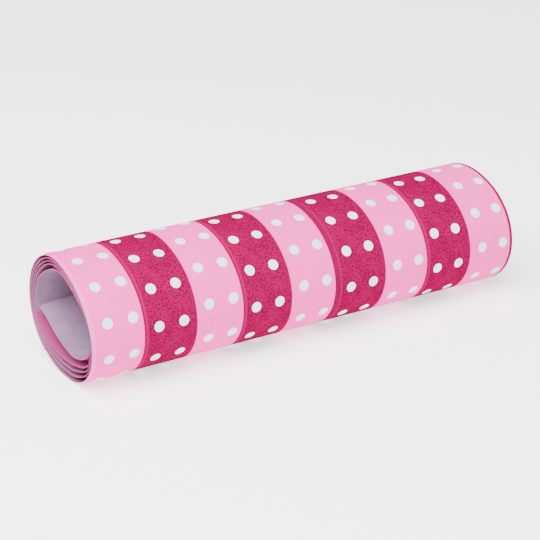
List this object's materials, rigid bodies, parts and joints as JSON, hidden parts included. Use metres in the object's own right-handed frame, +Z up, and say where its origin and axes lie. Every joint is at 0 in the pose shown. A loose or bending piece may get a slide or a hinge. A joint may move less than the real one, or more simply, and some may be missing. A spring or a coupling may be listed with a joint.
{
  "type": "roll of polka-dot ribbon strips",
  "caption": "Hollow roll of flat polka-dot ribbons wound side by side on a thin backing, whose inner end curls loose.",
  "frame": {"origin": "under the middle of the roll, on the surface that it rests on", "axes": "+X along the roll from the end seen in the picture to the far end, -Y towards the front that the picture shows, +Z up"},
  "size_m": [0.1368, 0.038, 0.0332],
  "materials": {
    "light_ribbon": "printed woven ribbon, light pink with white dots, matt",
    "dark_ribbon": "printed woven ribbon, dark pink with white dots, matt",
    "backing": "smooth greyish-white reverse, matt"
  },
  "bodies": {
    "root": {"ribbon_1_light": "light_ribbon", "ribbon_2_dark": "dark_ribbon", "ribbon_3_light": "light_ribbon", "ribbon_4_dark": "dark_ribbon", "ribbon_5_light": "light_ribbon", "ribbon_6_dark": "dark_ribbon", "ribbon_7_light": "light_ribbon", "ribbon_8_dark": "dark_ribbon", "ribbon_9_light": "light_ribbon", "backing_loose_end": "backing"}
  },
  "joints": []
}
